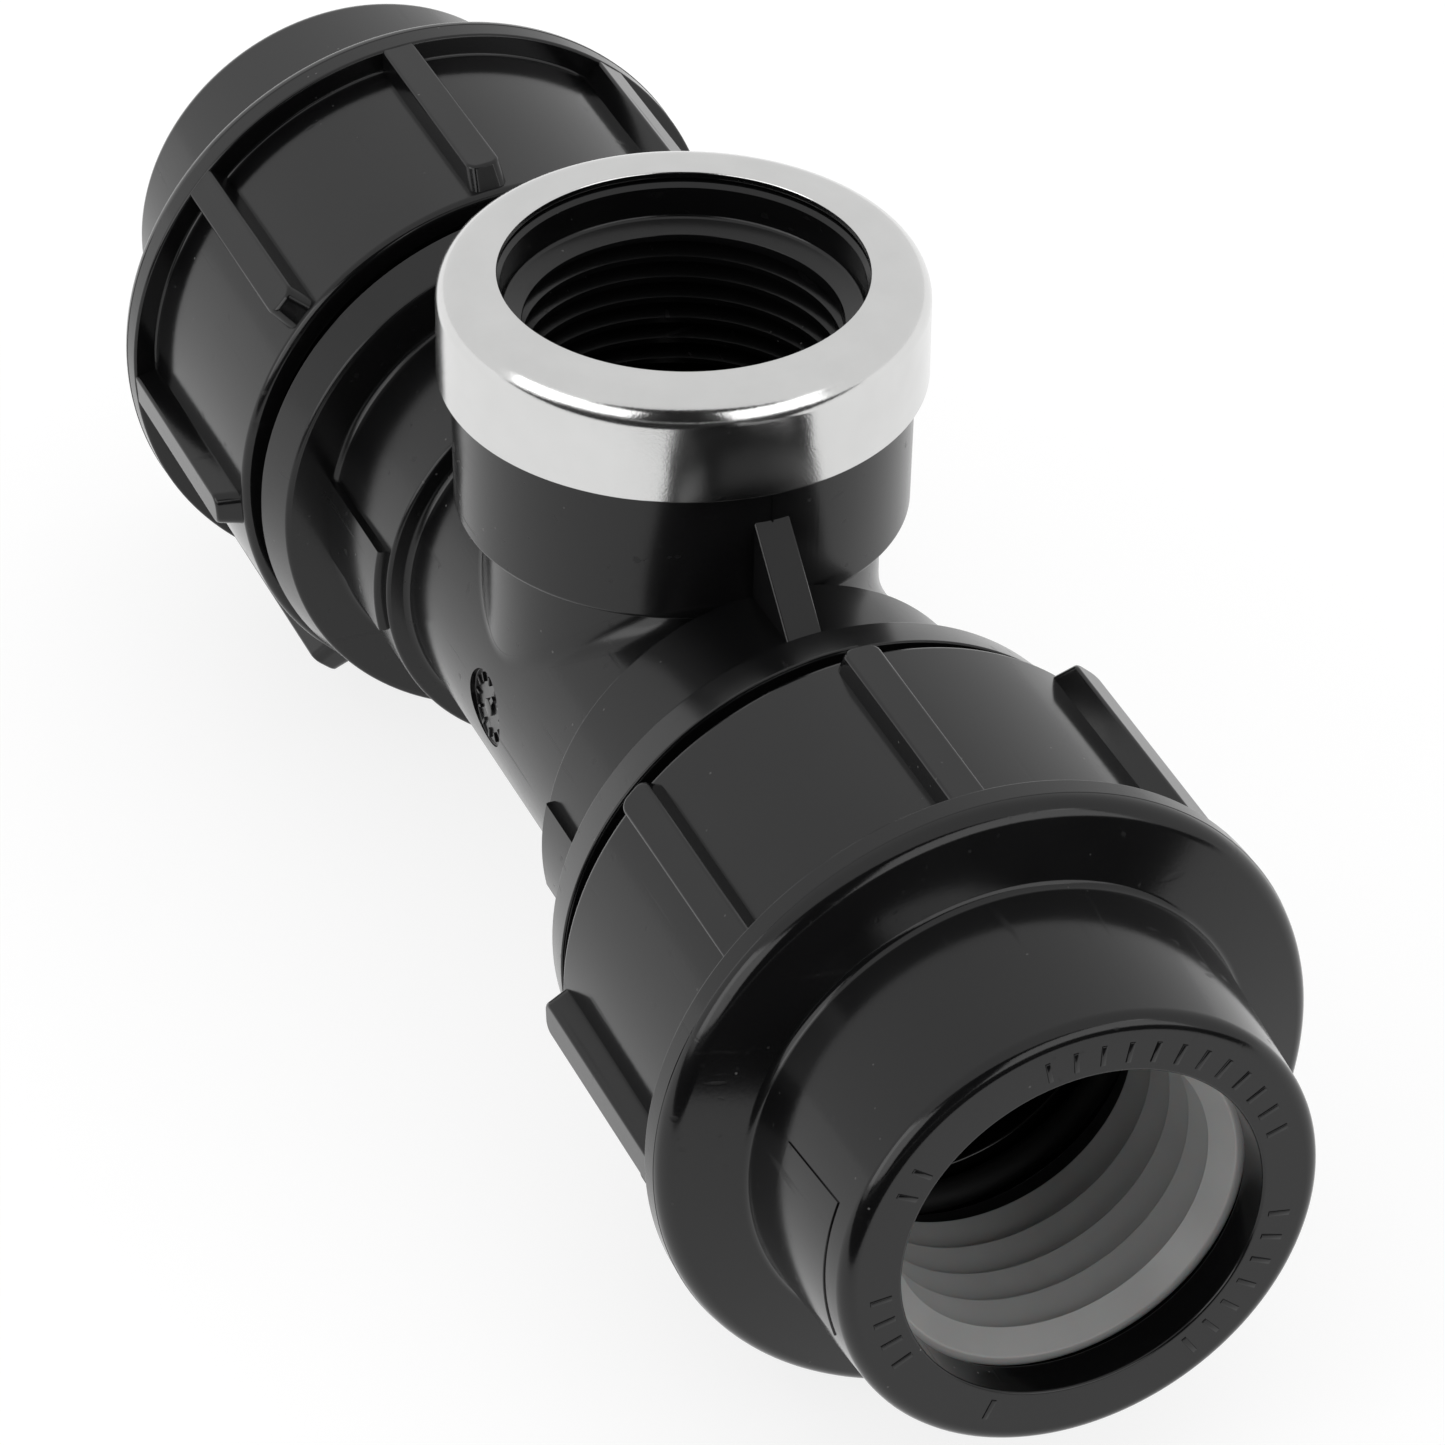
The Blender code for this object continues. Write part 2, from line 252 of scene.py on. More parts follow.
def settle(piece):
    """Puts the piece's place in its mesh, with the object at the origin, unturned and unscaled."""
    only(piece)
    bpy.ops.object.transform_apply(location=True, rotation=True, scale=True)
    return piece


def block(name, middle, size):
    """A box in mm, as a start for ribs, pads and cutters."""
    deselect_all()
    bpy.ops.mesh.primitive_cube_add(size=1, location=Vector(middle) * MM)
    piece = bpy.context.object
    piece.name = name
    piece.scale = Vector(size) * MM
    return settle(piece)


def joined(pieces):
    """Joins separate shapes into one mesh, so that one Boolean can unite them all."""
    deselect_all()
    for piece in pieces:
        piece.select_set(True)
    bpy.context.view_layer.objects.active = pieces[0]
    bpy.ops.object.join()
    return pieces[0]


def finish_mesh(piece, angle=30):
    """Cleans up after the Booleans and shades the piece smooth, with sharp edges kept."""
    edit(piece)
    bpy.ops.mesh.remove_doubles(threshold=0.000004)
    bpy.ops.mesh.dissolve_degenerate(threshold=0.000002)
    bpy.ops.object.mode_set(mode="OBJECT")
    bpy.ops.object.shade_smooth_by_angle(angle=math.radians(angle))
    weighing = piece.modifiers.new("Weigh", "WEIGHTED_NORMAL")
    weighing.keep_sharp = True
    bpy.ops.object.modifier_apply(modifier=weighing.name)
    print(count(piece))
    return piece


# %% [markdown]
# ## The moulded body
#
# The body is one moulding: a barrel with a shoulder flange and a threaded spigot at each end, and the branch
# standing on it. The run and the branch are turned first and then united, as the two bores of the mould meet.

# %% Turn the run
def both_ends(half):
    """A whole outline from the corners of its right half, given from the end towards the middle."""
    return half + [(-corner[0], *corner[1:]) for corner in reversed(half)]


BARREL_R = 20.1
BAND_START, BAND_R = 21.2, 22.4
FLANGE_BACK, FLANGE_FRONT = 36.0, 41.0
FLANGE_R = 28.4
SPIGOT_R = 23.9

body = turn("body_moulding", both_ends([
    (SPIGOT_END, 0), (SPIGOT_END, SPIGOT_R, 0.7), (FLANGE_FRONT, SPIGOT_R, 0.5),
    (FLANGE_FRONT, FLANGE_R, 0.22), (FLANGE_BACK, FLANGE_R - 1.0, 0.45), (FLANGE_BACK, BAND_R + 0.2, 0.7),
    (BAND_START, BAND_R, 0.4), (BAND_START, BARREL_R, 0.7),
]))
print(count(body))

# %% Turn the branch
NECK_R = 19.0
BOSS_BOTTOM, BOSS_R = 20.3, 21.8
BOSS_RIM_R = 22.2

branch = turn("branch", [
    (BOSS_TOP, 0), (BOSS_TOP, BOSS_RIM_R, 1.2), (BOSS_BOTTOM, BOSS_R, 0.55), (BOSS_BOTTOM - 0.7, NECK_R, 0.8),
    (0, NECK_R), (0, 0),
], axis="Z")
print(count(branch))

# %% [markdown]
# Where the neck meets the barrel the moulding has a fillet. The neck is nearly as wide as the barrel, so the
# fillet is wide beside the flanges and dies away on the flanks. A ball of one size that rolls along the
# corner touches the neck in one point and the barrel in another, and the arc between them is the fillet.

# %% Roll a ball round the saddle
def saddle(ball, lift=0.01, steps=192, arc=10):
    deselect_all()
    bpy.ops.mesh.primitive_circle_add(vertices=steps, radius=(NECK_R - 2) * MM)
    skirt = bpy.context.object
    skirt.name = "saddle"
    edit(skirt)
    rows = arc + 4
    for _ in range(rows - 1):
        bpy.ops.mesh.extrude_region_move(TRANSFORM_OT_translate={"value": (0, 0, MM)})
    bpy.ops.object.mode_set(mode="OBJECT")
    for vertex in skirt.data.vertices:
        row = round(vertex.co.z / MM)
        round_z = math.atan2(vertex.co.y, vertex.co.x)
        outwards = Vector((math.cos(round_z), math.sin(round_z), 0))
        middle = outwards * (NECK_R + ball)
        middle.z = math.sqrt((BARREL_R + ball) ** 2 - middle.y ** 2)
        up = Vector((0, middle.y, middle.z)).normalized()
        if row == 0:
            place = outwards * (NECK_R - 2) + Vector((0, 0, middle.z))
        elif row <= arc + 1:
            share = (row - 1) / arc
            start, end = -outwards, -up
            place = middle + start.slerp(end, share) * (ball - lift)
        elif row == arc + 2:
            place = Vector((middle.x, 0, 0)) + up * (BARREL_R - 2)
        else:
            place = outwards * (NECK_R - 3) + up * (BARREL_R - 3 - up.dot(outwards) * (NECK_R - 3)) * 0.5
        vertex.co = place * MM
    edit(skirt)
    pick(skirt, "EDGE", lambda edge: edge.is_boundary)
    bpy.ops.mesh.bridge_edge_loops()
    return close_up(skirt)


skirt = saddle(3.0)
print(count(skirt))

# %% [markdown]
# ## Ribs, pads and marks on the body
#
# A gusset ties each side of the boss to the run. Each band has a raised pad on its front and back, and a fine
# line and a small step show where the two halves of the mould met. These are boxes and plates, shaped in
# edit mode and then united with the body.

# %% Cut plates from an outline
def plate(name, corners, thickness, y=0.0):
    """A plate of (x, z) corners in mm, standing in the plane of the run and the branch."""
    piece = draw(name, [(z, x) for x, z in corners], axis="Z")
    edit(piece)
    bpy.ops.mesh.edge_face_add()
    bpy.ops.mesh.extrude_region_move(TRANSFORM_OT_translate={"value": (0, thickness * MM, 0)})
    bpy.ops.mesh.select_all(action="SELECT")
    bpy.ops.transform.translate(value=(0, (y - thickness / 2) * MM, 0))
    bpy.ops.mesh.normals_make_consistent(inside=False)
    bpy.ops.object.mode_set(mode="OBJECT")
    return piece


def soften(piece, width, wanted, segments=3):
    """Bevels the edges whose middle, in mm, passes a test."""
    edit(piece)
    pick(piece, "EDGE", lambda edge: wanted((edge.verts[0].co + edge.verts[1].co) / 2 / MM))
    bpy.ops.mesh.bevel(offset=width * MM, segments=segments, affect="EDGES")
    bpy.ops.object.mode_set(mode="OBJECT")
    return piece


GUSSET_T = 3.5
GUSSET_SUM = 52.6
added = []
for way in (1, -1):
    gusset = plate(f"gusset_{way}", [
        (way * 20.0, GUSSET_SUM - 20.0), (way * 20.0, 15.0), (way * (GUSSET_SUM - 20.4), 20.4),
    ], GUSSET_T)
    added.append(soften(gusset, 0.18, lambda middle: abs(abs(middle.x) + middle.z - GUSSET_SUM) < 0.1, 2))
print(len(added), "gussets")

# %% Raise the pads on the bands
PAD_R = 23.3
PAD_START = 22.4
for way in (1, -1):
    for front in (1, -1):
        pad = turn(f"pad_{way}_{front}", [
            (way * PAD_START, 20.5), (way * PAD_START, PAD_R, 0.3), (way * (FLANGE_BACK + 0.5), PAD_R),
            (way * (FLANGE_BACK + 0.5), 20.5),
        ], closed=True, steps=288)
        wedge = block("wedge", (way * 30, front * 23, 0), (20, 8, 9.3))
        added.append(combine(pad, "INTERSECT", [wedge]))
print(len(added), "pieces to unite with the body")

# %% Draw the mould's parting line
LINE_T, LINE_RISE = 0.13, 0.05


def beside(corners):
    return [(x + LINE_RISE * (1 if x > 0 else -1 if x < 0 else 0), z) for x, z in corners]


upper = beside([
    (BOSS_RIM_R, 36.0), (BOSS_R, BOSS_BOTTOM + 0.6), (BOSS_R - 0.5, BOSS_BOTTOM), (BOSS_R - 0.5, 18.0),
    (-BOSS_R + 0.5, 18.0), (-BOSS_R + 0.5, BOSS_BOTTOM), (-BOSS_R, BOSS_BOTTOM + 0.6), (-BOSS_RIM_R, 36.0),
])
added.append(plate("parting_line_boss", upper, LINE_T))
radii = [
    (FLANGE_FRONT, FLANGE_R - 0.2), (FLANGE_BACK + 0.2, FLANGE_R - 1.1), (FLANGE_BACK, BAND_R + 0.4),
    (BAND_START + 0.2, BAND_R), (BAND_START, BARREL_R + 0.3),
]
lower = [(x, -r - LINE_RISE) for x, r in radii] + [(-x, -r - LINE_RISE) for x, r in reversed(radii)]
added.append(plate("parting_line_run", lower + [(-FLANGE_FRONT, 0), (FLANGE_FRONT, 0)], LINE_T))

# %% Offset one half of each flange's rim
STEP_RISE = 0.16
for way in (1, -1):
    rim = turn(f"rim_step_{way}", [
        (way * (FLANGE_FRONT - 0.06), 26.5), (way * (FLANGE_FRONT - 0.06), FLANGE_R + STEP_RISE, 0.2),
        (way * (FLANGE_BACK + 0.04), FLANGE_R - 1.0 + STEP_RISE, 0.4), (way * (FLANGE_BACK + 0.04), 26.5),
    ], closed=True, steps=200)
    edit(rim)
    bpy.ops.mesh.bisect(plane_co=(0, 0.0006, 0), plane_no=(0, 1, 0), use_fill=True, clear_outer=True)
    bpy.ops.object.mode_set(mode="OBJECT")
    added.append(close_up(rim))

# %% [markdown]
# ## The body's threads and bores
#
# The coarse thread has a pitch of 5 mm on both spigots, and both are right-handed. The nut's own ridge runs
# half a pitch away, so that the two pass without touching as the nut turns. The branch has the finer one
# inch pipe thread, which is cut out.

# %% Wind the coarse threads and unite the body
PITCH = 5.0
THREAD_FLANK, THREAD_TIP = 1.2, 0.65
BODY_CREST_R = 26.3


def coarse(name, start, turns, root, crest):
    """A coarse ridge whose section has small bevels at the crest."""
    sink = math.copysign(1, crest - root)
    section = [
        (-THREAD_FLANK - 0.1, root - sink * 0.4), (-THREAD_TIP - 0.15, crest - sink * 0.25),
        (-THREAD_TIP + 0.05, crest), (THREAD_TIP - 0.05, crest),
        (THREAD_TIP + 0.15, crest - sink * 0.25), (THREAD_FLANK + 0.1, root - sink * 0.4),
    ]
    section = [(start + along, out) for along, out in section]
    return ridge(name, section, PITCH, turns)


added += [coarse("thread_right", 45.0, 3.2, SPIGOT_R, BODY_CREST_R)]
added += [coarse("thread_left", -60.0, 3.0, SPIGOT_R, BODY_CREST_R)]
combine(body, "UNION", [branch, skirt] + added)
print(count(body))

# %% Bore the run and the branch
WATERWAY_R, SOCKET_R, SEAT_R = 13.4, 16.4, 20.3
PIPE_STOP, SEAT_START = 38.0, 62.0
LIP_R = 17.3
LEDGE_TOP, LEDGE_BOTTOM = 40.4, 39.6
PIPE_PITCH = 2.309
PIPE_MINOR_R, PIPE_MAJOR_R = 15.15, 16.62

run_bore = turn("run_bore", both_ends([
    (SPIGOT_END + 3, 0), (SPIGOT_END + 3, SEAT_R + 0.7), (SPIGOT_END - 0.2, SEAT_R + 0.7),
    (SPIGOT_END - 0.9, SEAT_R), (SEAT_START, SEAT_R, 0.5), (SEAT_START, SOCKET_R, 0.3),
    (PIPE_STOP, SOCKET_R, 0.6), (PIPE_STOP, WATERWAY_R, 0.5),
]), steps=160)
branch_bore = turn("branch_bore", [
    (BOSS_TOP + 2, 0), (BOSS_TOP + 2, LIP_R + 0.4), (BOSS_TOP - 0.15, LIP_R + 0.4), (BOSS_TOP - 0.55, LIP_R),
    (LEDGE_TOP, LIP_R, 0.5), (LEDGE_BOTTOM, PIPE_MINOR_R + 0.1, 0.12), (LEDGE_BOTTOM - 0.5, PIPE_MINOR_R),
    (19.6, PIPE_MINOR_R, 0.5), (19.6, 13.0, 0.6), (0.5, 13.0), (0.5, 0),
], axis="Z", steps=160)
groove = ridge("pipe_groove", [
    (20.9 - 1.0, PIPE_MINOR_R - 0.25), (20.9 - 0.12, PIPE_MAJOR_R), (20.9 + 0.12, PIPE_MAJOR_R),
    (20.9 + 1.0, PIPE_MINOR_R - 0.25),
], PIPE_PITCH, 7.9, axis="Z", steps=112)
combine(body, "DIFFERENCE", [run_bore, branch_bore, groove])
print(count(body))

# %% [markdown]
# ## The mould's date clock
#
# Mouldings carry a small round insert that shows when they were made. Here it is a shallow round recess with
# a plain dial: twelve ticks and a pointer, with no figures.

# %% Press the date clock into the barrel
CLOCK_X, CLOCK_Z, CLOCK_R = -0.6, -0.3, 4.0
CLOCK_FLOOR = BARREL_R - 0.62


def toward_front(piece):
    """Turns a piece made up the Z axis so that up points out of the front, then moves it to the clock."""
    piece.rotation_euler = (math.pi / 2, 0, 0)
    piece.location = Vector((CLOCK_X, 0, CLOCK_Z)) * MM
    return settle(piece)


recess = toward_front(turn("recess", [
    (BARREL_R + 2, 0), (BARREL_R + 2, CLOCK_R), (CLOCK_FLOOR, CLOCK_R - 0.1, 0.15), (CLOCK_FLOOR, 0),
], axis="Z", steps=64))
combine(body, "DIFFERENCE", [recess])
dial = []
for hour in range(12):
    tick = block(f"tick_{hour}", (0, 3.0, CLOCK_FLOOR), (0.34, 0.95, 0.5))
    tick = soften(tick, 0.1, lambda middle: middle.z > CLOCK_FLOOR + 0.2, 2)
    tick.rotation_euler.z = math.tau * hour / 12
    dial.append(toward_front(settle(tick)))
pointer = block("pointer", (0, 0.5, CLOCK_FLOOR), (0.5, 2.9, 0.5))
pointer.rotation_euler.z = math.radians(-32)
dial.append(toward_front(settle(pointer)))
hub = turn("hub", [
    (CLOCK_FLOOR + 0.3, 0), (CLOCK_FLOOR + 0.3, 0.9, 0.12), (CLOCK_FLOOR - 0.3, 0.9), (CLOCK_FLOOR - 0.3, 0),
], axis="Z", steps=32)
dial.append(toward_front(hub))
combine(body, "UNION", dial)
finish_mesh(body)

# %% [markdown]
# ## The steel ring
#
# A pressed stainless ring binds the mouth of the branch, so that a metal thread can't split the plastic. It
# is one turned sheet, 0.8 mm thick, and its wide rounded shoulder is what catches the light.

# %% Spin the steel ring
STEEL_R = steel_high.x
STEEL_T = 0.8
MOUTH_R = 17.56
SHOULDER_R = 2.8
steel = turn("steel_ring", [
    (STEEL_TOP, MOUTH_R, 0.22), (STEEL_TOP, STEEL_R, SHOULDER_R), (STEEL_BOTTOM, STEEL_R, 0.18),
    (STEEL_BOTTOM, STEEL_R - STEEL_T, 0.18), (STEEL_TOP - STEEL_T, STEEL_R - STEEL_T, SHOULDER_R - STEEL_T),
    (STEEL_TOP - STEEL_T, MOUTH_R, 0.22),
], axis="Z", steps=320, closed=True, arc=12)
finish_mesh(steel)

# %% [markdown]
# ## The coupling nuts
#
# Each nut has a ribbed grip, a thick collar with a rounded shoulder, and a neck with a flat face. Its inside
# is a coarse thread and then a cone, which squeezes the clinch ring onto the pipe. The nut is turned with its
# cone open, then the ribs and the thread are united with it.

# %% Turn a nut
PANEL_R = 29.6
COLLAR_BACK, COLLAR_EDGE, COLLAR_R = 69.6, 73.4, nut_high.z
NECK_START, NUT_NECK_R, NUT_NECK_END_R = 75.4, 24.4, 23.1
NUT_BORE_R = 17.45
NUT_ROOT_R, NUT_CREST_R = 27.0, 24.6
CONE_END, CONE_END_R, CONE_SLOPE = 90.0, 18.2, 0.225


def cone_r(x):
    return CONE_END_R + CONE_SLOPE * (CONE_END - x)


def nut_outline():
    return [
        (NUT_END, NUT_BORE_R, 0.3), (NUT_END, NUT_NECK_END_R, 1.5), (NECK_START, NUT_NECK_R, 0.9),
        (COLLAR_EDGE, COLLAR_R, 1.9), (71.92, COLLAR_R), (71.84, COLLAR_R + 0.05), (71.76, COLLAR_R),
        (COLLAR_BACK, COLLAR_R, 0.3), (COLLAR_BACK, PANEL_R, 0.3), (NUT_START, PANEL_R - 0.1, 0.8),
        (NUT_START, NUT_ROOT_R, 0.4), (66.5, NUT_ROOT_R), (68.0, cone_r(68.0)), (CONE_END, CONE_END_R, 0.2),
        (CONE_END, NUT_BORE_R, 0.2),
    ]


# %% Shape one rib and copy it round the nut
RIB_COUNT = 8
RIB_START, RIB_TOP_R = 43.7, 31.85
RIB_TOP_W, RIB_ROOT_W = 3.4, 4.1
RIB_SLOPE = 1.5
RIB_PHASE = {"right": math.radians(2.5), "left": math.radians(40.2)}


def rib_crown(side):
    """The nut's eight ribs as one mesh, round the run's axis."""
    end = COLLAR_BACK + 1.0
    foot = PANEL_R - 1.2
    middle_r = (foot + RIB_TOP_R) / 2
    rib = block("rib", ((RIB_START + end) / 2, 0, -middle_r), (end - RIB_START, 1, RIB_TOP_R - foot))
    edit(rib)
    for wanted, width in (
        (lambda face: face.normal.z < -0.9, RIB_TOP_W),
        (lambda face: face.normal.z > 0.9, RIB_ROOT_W),
    ):
        pick(rib, "FACE", wanted)
        bpy.ops.transform.resize(value=(1, width, 1), center_override=(0, 0, 0))
    pick(rib, "VERT", lambda vert: vert.co.x / MM < RIB_START + 0.1 and vert.co.z / MM < -middle_r)
    bpy.ops.transform.translate(value=(RIB_SLOPE * MM, 0, 0))
    bpy.ops.object.mode_set(mode="OBJECT")
    soften(rib, 1.1, lambda middle: middle.x < RIB_START + RIB_SLOPE and abs(middle.z + middle_r) < 0.3, 5)
    soften(rib, 0.3, lambda middle: middle.z < -RIB_TOP_R + 0.05, 3)
    copies = []
    for number in range(RIB_COUNT):
        copy = bpy.data.objects.new(f"rib_{number}", rib.data.copy())
        bpy.context.scene.collection.objects.link(copy)
        copy.rotation_euler.x = RIB_PHASE[side] + math.tau * number / RIB_COUNT
        copies.append(settle(copy))
    bpy.data.objects.remove(rib)
    return joined(copies)


# %% Raise plain ticks on the face and a plain pad on the neck
TICK_R, TICK_RISE, TICK_STEP = 19.5, 0.12, 7.6
TICK_GROUPS = ((-12, 12), (100, 7), (-154, 1), (-118, 4), (-62, 2))
NECK_PAD = (81.0, 90.5, 0.14)


def face_ticks():
    """Groups of raised radial ticks; each group has its first angle in degrees and its number of ticks."""
    ticks = []
    for first, number in TICK_GROUPS:
        for k in range(number):
            tick = block(f"face_tick_{first}_{k}", (NUT_END, 0, TICK_R), (2 * TICK_RISE, 0.5, 2.1))
            tick = soften(tick, 0.09, lambda middle: middle.x > NUT_END + 0.9 * TICK_RISE, 2)
            tick.rotation_euler.x = -math.radians(first + TICK_STEP * k)
            ticks.append(settle(tick))
    return joined(ticks)


def neck_pad():
    """A thin plain pad on the front of the neck, which follows its taper."""
    start, end, rise = NECK_PAD
    fall = (NUT_NECK_R - NUT_NECK_END_R) / (NUT_END - NECK_START)
    radii = [NUT_NECK_R - fall * (x - NECK_START) for x in (start, end)]
    pad = turn("neck_pad", [
        (end, radii[1] - 1), (end, radii[1] + rise, 0.08), (start, radii[0] + rise, 0.08),
        (start, radii[0] - 1),
    ], closed=True, steps=288)
    wedge = block("neck_wedge", ((start + end) / 2, -23, 0), (20, 8, 15))
    return combine(pad, "INTERSECT", [wedge])


# %% Make both nuts
def to_side(piece, side):
    """Turns a piece made for the right end round to its own end."""
    if side == "left":
        piece.rotation_euler.z = math.pi
        settle(piece)
    return piece


nuts = {}
for side in ("right", "left"):
    nut = turn(f"coupling_nut_{side}", nut_outline(), closed=True, arc=6)
    thread = coarse("nut_thread", 45.0 + PITCH / 2, 2.75, NUT_ROOT_R, NUT_CREST_R)
    combine(nut, "UNION", [rib_crown(side), thread, face_ticks(), neck_pad()])
    nuts[side] = to_side(finish_mesh(nut), side)

# %% [markdown]
# ## Inside the nuts
#
# A pipe passes the clinch ring, the thrust ring and the O-ring before it reaches its stop. The clinch ring is
# split, and its five barbs point inwards so that the pipe can't pull out.

# %% Turn the clinch rings and split them
FIT_GAP = 0.35
BARB_COUNT, BARB_PITCH, BARB_BACK = 5, 4.0, 0.3
BARB_CREST_R, BARB_ROOT_R = 15.3, 16.7
SLOT_W = 3.0
SLOT_SLANT = math.radians(14)
SLOT_TURN = {"right": math.radians(205), "left": math.radians(155)}


def clinch_outline():
    outline = [
        (CLINCH_END, cone_r(CLINCH_END) - FIT_GAP, 0.25), (CLINCH_START, cone_r(CLINCH_START) - FIT_GAP, 0.3),
    ]
    for number in range(BARB_COUNT):
        crest = CLINCH_START + BARB_PITCH * number
        if number:
            outline.append((crest - BARB_BACK, BARB_ROOT_R, 0.15))
        outline.append((crest, BARB_CREST_R, 0.12))
    return outline + [(CLINCH_END, 17.05, 0.3)]


clinch = {}
for side in ("right", "left"):
    grip = turn(f"barbed_ring_{side}", clinch_outline(), closed=True, arc=3)
    slot = block("slot", (0, 0, 0), (40, SLOT_W, 16))
    slot.rotation_euler.z = SLOT_SLANT
    settle(slot)
    slot.location = Vector(((CLINCH_START + CLINCH_END) / 2, 0, -19)) * MM
    settle(slot)
    slot.rotation_euler.x = SLOT_TURN[side]
    settle(slot)
    combine(grip, "DIFFERENCE", [slot])
    clinch[side] = to_side(finish_mesh(grip), side)

# %% Turn the thrust rings and the O-rings
seals, thrusts = {}, {}
seal_middle = (seal_low.x + seal_high.x) / 2
seal_section = (seal_high.x - seal_low.x) / 2
seal_ring_r = seal_high.z - seal_section
for side in ("right", "left"):
    thrust = turn(f"packing_ring_{side}", [
        (thrust_high.x, thrust_high.z, 0.5), (thrust_low.x, thrust_high.z, 0.15), (thrust_low.x, 16.7, 0.2),
        (thrust_high.x, 16.7, 0.3),
    ], closed=True, steps=128)
    thrusts[side] = to_side(finish_mesh(thrust), side)
    circle = []
    for k in range(40):
        angle = math.tau * k / 40
        flash = 0.05 if k % 20 == 10 else 0
        reach = seal_section - 0.06 + flash
        circle.append((seal_middle + reach * math.sin(angle), seal_ring_r + reach * math.cos(angle)))
    seal = turn(f"rubber_seal_{side}", circle, closed=True, steps=128)
    seals[side] = to_side(finish_mesh(seal), side)

# %% [markdown]
# ## Writing shader maths as expressions
#
# A finish is made of many small Math nodes. One class wraps a socket, so that a mask can be written as
# `(noise - 0.5) * 2`, and one method adds any other node with its settings and its sockets.

# %% A socket that can be calculated with
class Value:
    def __init__(self, finish, socket):
        self.finish = finish
        self.socket = socket

    def math(self, operation, *others, clamp=False):
        settings = {"operation": operation, "use_clamp": clamp}
        return self.finish.node("ShaderNodeMath", settings, dict(enumerate((self, *others))))

    def __add__(self, other):
        return self.math("ADD", other)

    def __sub__(self, other):
        return self.math("SUBTRACT", other)

    def __mul__(self, other):
        return self.math("MULTIPLY", other)

    __radd__ = __add__
    __rmul__ = __mul__

    def over(self, low, high):
        """0 below low, 1 above high and even between them; a low above high turns it round."""
        return ((self - low) * (1.0 / (high - low))).math("ADD", 0.0, clamp=True)

    def most(self, other):
        return self.math("MAXIMUM", other)


# %% A finish with its nodes
class Finish:
    def __init__(self, name, **constants):
        self.material = bpy.data.materials.new(name)
        self.material.use_nodes = True
        self.tree = self.material.node_tree
        self.surface = self.tree.nodes["Principled BSDF"]
        for socket, value in constants.items():
            self.surface.inputs[socket.replace("_", " ")].default_value = value
        self.place = self.node("ShaderNodeTexCoord", output="Object")

    def node(self, kind, settings=None, inputs=None, output=0):
        made = self.tree.nodes.new(kind)
        for name, value in (settings or {}).items():
            setattr(made, name, value)
        for key, value in (inputs or {}).items():
            if isinstance(value, Value):
                self.tree.links.new(value.socket, made.inputs[key])
            else:
                made.inputs[key].default_value = value
        return Value(self, made.outputs[output])

    def feed(self, socket, value):
        self.tree.links.new(value.socket, self.surface.inputs[socket])

    def noise(self, scale, detail=2.0, place=None, rough=0.5):
        inputs = {"Vector": place or self.place, "Scale": scale, "Detail": detail, "Roughness": rough}
        return self.node("ShaderNodeTexNoise", None, inputs)

    def stretched(self, scale, turned=(0, 0, 0)):
        inputs = {"Vector": self.place, "Scale": scale, "Rotation": turned}
        return self.node("ShaderNodeMapping", None, inputs)

    def specks(self, scale, size, place=None):
        """1 in small round specks, one in each cell of a grid with its own size, else 0."""
        inputs = {"Vector": place or self.place, "Scale": scale}
        distance = self.node("ShaderNodeTexVoronoi", None, inputs, "Distance")
        return distance.over(size, size * 0.6)

    def blend(self, factor, first, second):
        inputs = {0: factor, 6: first, 7: second}
        return self.node("ShaderNodeMix", {"data_type": "RGBA"}, inputs, output=2)

    def bump(self, height, distance, under=None):
        inputs = {"Height": height, "Distance": distance, "Strength": 1.0}
        if under:
            inputs["Normal"] = under
        return self.node("ShaderNodeBump", None, inputs)


print("finishes so far:", len(bpy.data.materials))

# %% [markdown]
# ## Black polypropylene
#
# Moulded polypropylene isn't flat black paint. Its skin copies the steel of the mould, so it shines softly
# and unevenly, with faint flow lines and the fine scratches of handling, and a little dust lies on it.

# %% Mix the black plastic
def black_plastic(name, gloss, waviness):
    finish = Finish(name, IOR=1.45)
    cloud = finish.noise(120.0, 3.0)
    grain = finish.noise(2600.0, 2.0)
    long_scratch = finish.noise(900.0, 1.0, finish.stretched((0.04, 1.0, 1.0), (0.3, 0.2, 0.5)))
    cross_scratch = finish.noise(700.0, 1.0, finish.stretched((1.0, 0.05, 1.0), (0.5, 0.1, -0.4)))
    scratch = long_scratch.over(0.70, 0.78).most(cross_scratch.over(0.71, 0.79))
    dust = finish.specks(620.0, 0.09) * finish.noise(70.0).over(0.56, 0.66)
    black = finish.blend(cloud, (0.0032, 0.0032, 0.0034, 1), (0.0052, 0.0052, 0.0054, 1))
    finish.feed("Base Color", finish.blend(dust, black, (0.09, 0.09, 0.088, 1)))
    finish.feed("Roughness", gloss + 0.08 * cloud + 0.04 * grain + 0.12 * scratch + 0.2 * dust)
    broad = finish.bump(finish.noise(45.0, 1.0), 0.00022 * waviness)
    fine = finish.bump(grain, 0.0000022, broad)
    finish.feed("Normal", finish.bump(scratch * -1.0, 0.000004, fine))
    return finish.material


body_black = black_plastic("black_polypropylene_body", 0.14, 1.0)
nut_black = black_plastic("black_polypropylene_nut", 0.08, 0.6)

# %% [markdown]
# ## Stainless steel
#
# The ring is stamped from bright sheet and then tumbled, so its skin is a soft mirror with tiny pits and
# hair scratches that run round it. The pits break up the edges of what it reflects.

